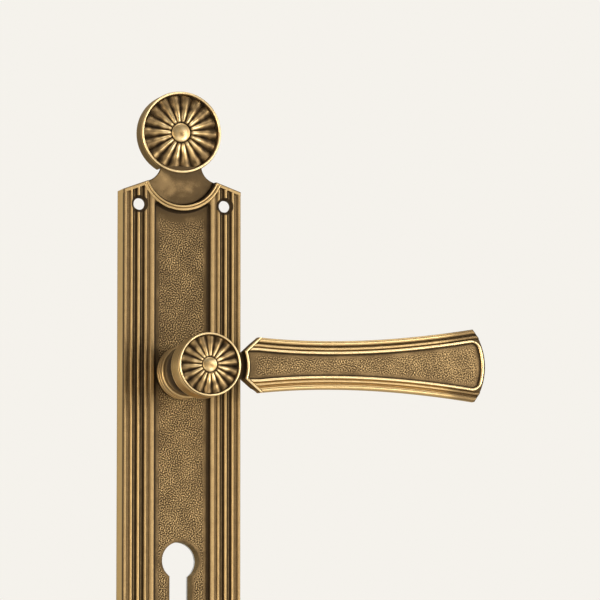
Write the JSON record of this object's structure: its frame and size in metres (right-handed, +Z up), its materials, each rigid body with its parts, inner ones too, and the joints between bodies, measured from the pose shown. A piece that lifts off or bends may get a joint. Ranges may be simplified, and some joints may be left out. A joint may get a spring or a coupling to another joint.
{
  "type": "lever handle lockset",
  "caption": "Lever door handle on a tall ornamental antique-brass plate with fluted rosettes, reeded borders and a sprung spindle.",
  "frame": {"origin": "spindle axis where it leaves the back of the plate, on the plane of the door's face", "axes": "+X along the lever towards its tip, +Y into the door along the spindle, +Z up the plate"},
  "size_m": [0.1572, 0.105, 0.3426],
  "materials": {
    "antique_brass": "antiqued cast brass, relieved high spots, dark patina in the grooves",
    "zinc_steel": "zinc-plated pressed steel",
    "spring_steel": "oiled spring steel",
    "bright_steel": "bright drawn steel bar",
    "black_steel": "black oxide steel",
    "black_nylon": "moulded nylon"
  },
  "bodies": {
    "plate": {"faceplate": "antique_brass", "upper_rosette": "antique_brass", "lower_rosette": "antique_brass", "rosette_screws": "zinc_steel", "back_plate": "zinc_steel", "back_plate_screws": "zinc_steel", "rose_collar": "antique_brass", "bearing_bush": "black_nylon", "thrust_washer": "black_nylon", "cassette_housing": "zinc_steel", "cassette_screws": "zinc_steel", "stop_pins": "bright_steel", "return_spring": "spring_steel"},
    "lever": {"lever_hub": "antique_brass", "hub_rosette": "antique_brass", "lever_grip": "antique_brass", "grip_screw": "antique_brass", "driver_cam": "zinc_steel", "spindle": "bright_steel", "grub_screw": "black_steel", "end_shim": "spring_steel", "retaining_ring": "spring_steel"}
  },
  "joints": [
    {"name": "lever_turn", "type": "hinge", "parent": "plate", "child": "lever", "pos_m": [0, 0, 0], "axis": [0, 1, 0], "range_deg": [0, 45], "stiffness_Nm_per_rad": 1.5, "springref_deg": -34.38, "deforming": ["return_spring"]}
  ]
}
